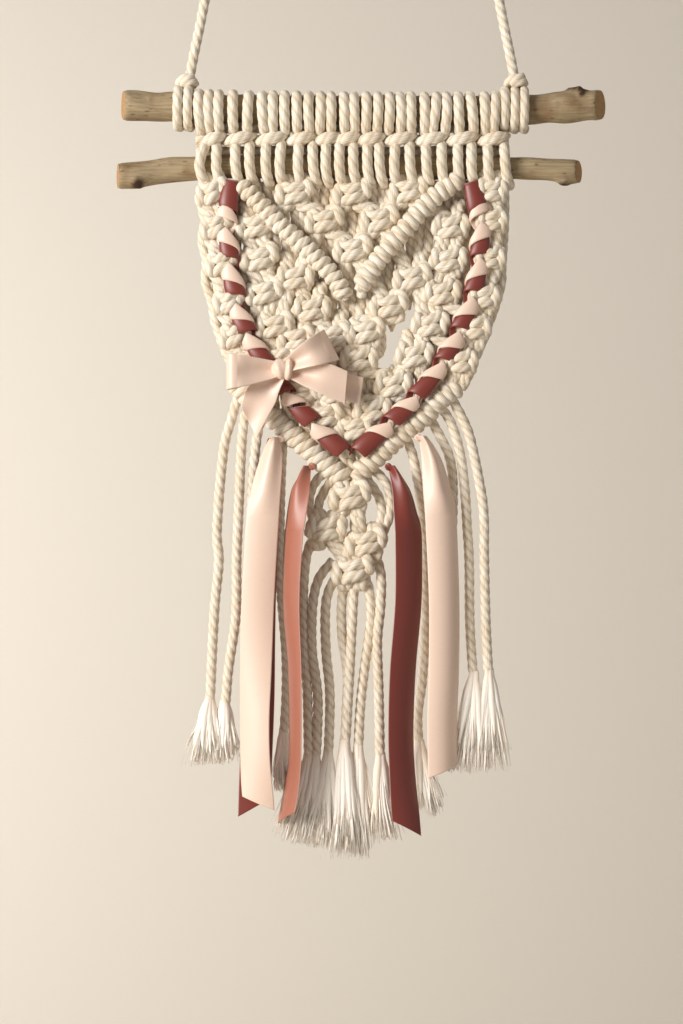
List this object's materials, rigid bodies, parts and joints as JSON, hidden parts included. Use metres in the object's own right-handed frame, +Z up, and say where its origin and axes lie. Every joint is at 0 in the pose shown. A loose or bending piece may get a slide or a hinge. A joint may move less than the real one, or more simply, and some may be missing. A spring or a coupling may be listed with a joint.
{
  "type": "macrame wall hanging on wooden branches",
  "caption": "Shield-shaped net of knotted cotton cord on bare branches, laced with satin ribbon, with a bow, hanging ribbons and a combed fringe.",
  "frame": {"origin": "midway between the tops of the hanging loops, where wall pegs would hold them", "axes": "+Z up, +X to the right along the branches seen from the front, +Y into the wall"},
  "size_m": [0.2335, 0.0372, 0.4527],
  "materials": {
    "cotton_cord": "three-ply twisted cotton, undyed, matt",
    "branch_wood": "bare peeled branch, dry and unvarnished",
    "peach_satin": "polyester satin ribbon, pale peach",
    "rose_satin": "polyester satin ribbon, deep dusty rose",
    "coral_satin": "polyester satin ribbon, coral rose"
  },
  "bodies": {
    "root": {"branch_top": "branch_wood", "branch_low": "branch_wood", "hanger_cord_left": "cotton_cord", "hanger_cord_right": "cotton_cord", "hanger_loop_left": "cotton_cord", "hanger_loop_right": "cotton_cord", "hanger_hitch_left": "cotton_cord", "hanger_hitch_right": "cotton_cord", "head_wraps": "cotton_cord", "bar_row": "cotton_cord", "lower_wraps": "cotton_cord", "net_panel": "cotton_cord", "edge_fringe_left": "cotton_cord", "edge_fringe_right": "cotton_cord", "point_fringe": "cotton_cord", "lacing_rose_left": "rose_satin", "lacing_peach_left": "peach_satin", "lacing_rose_right": "rose_satin", "lacing_peach_right": "peach_satin", "ribbon_peach_left": "peach_satin", "ribbon_rose_behind": "rose_satin", "ribbon_coral_left": "coral_satin", "ribbon_rose_right": "rose_satin", "ribbon_peach_right": "peach_satin", "bow": "peach_satin"}
  },
  "joints": []
}
